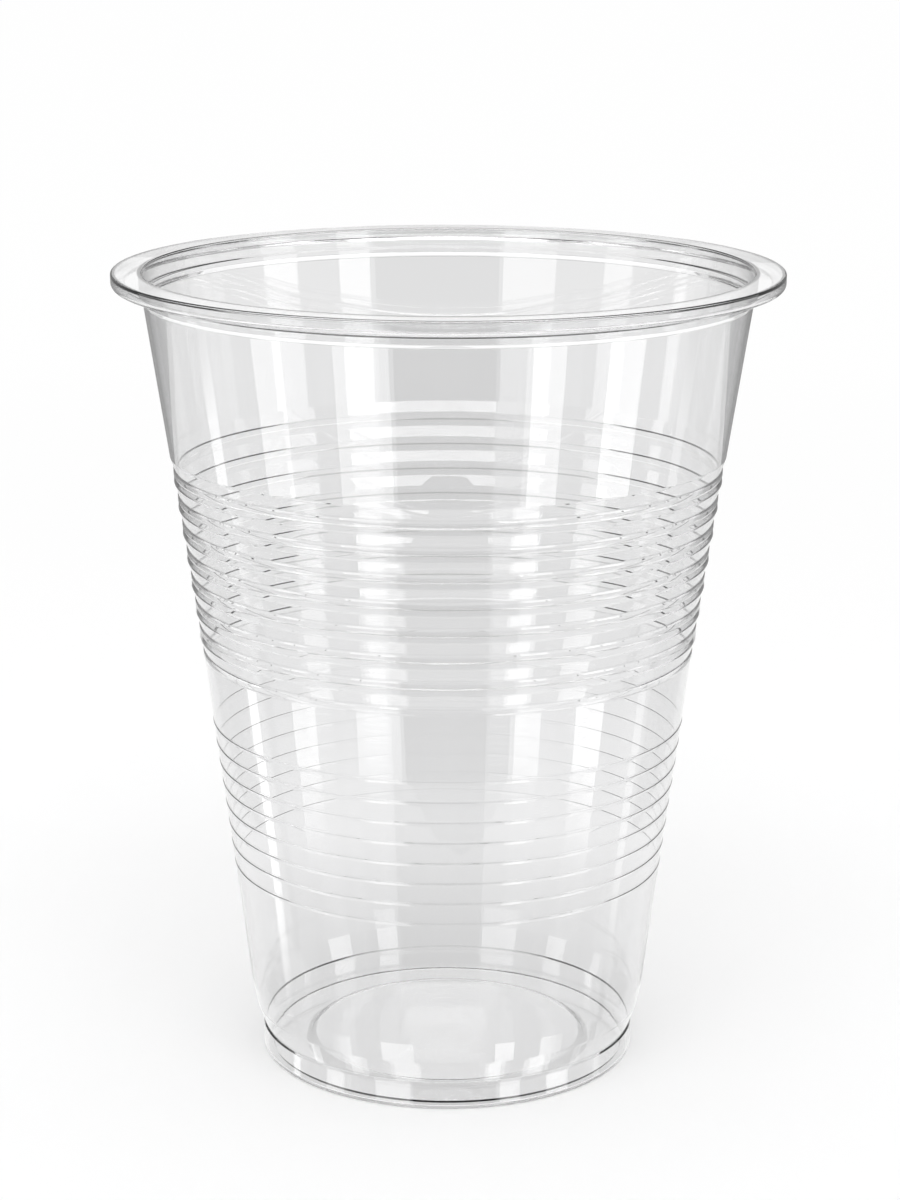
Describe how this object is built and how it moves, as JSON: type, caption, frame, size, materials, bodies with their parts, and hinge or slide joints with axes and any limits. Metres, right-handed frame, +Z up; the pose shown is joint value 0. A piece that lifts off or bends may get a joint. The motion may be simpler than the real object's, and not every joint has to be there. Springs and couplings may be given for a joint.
{
  "type": "plastic disposable cup",
  "caption": "Clear tapered drinking cup of thin plastic, with a flattened rolled rim, a stack of grip rings, fine ribs below them and a foot ring folded round a recessed base.",
  "frame": {"origin": "centre of the foot ring, on the surface that the cup stands on", "axes": "+Z up along the cup's own axis; the cup is the same all round, so X and Y are free"},
  "size_m": [0.095, 0.095, 0.116],
  "materials": {
    "clear_plastic": "colourless, transparent and glossy, moulded smooth"
  },
  "bodies": {
    "root": {"cup": "clear_plastic"}
  },
  "joints": []
}
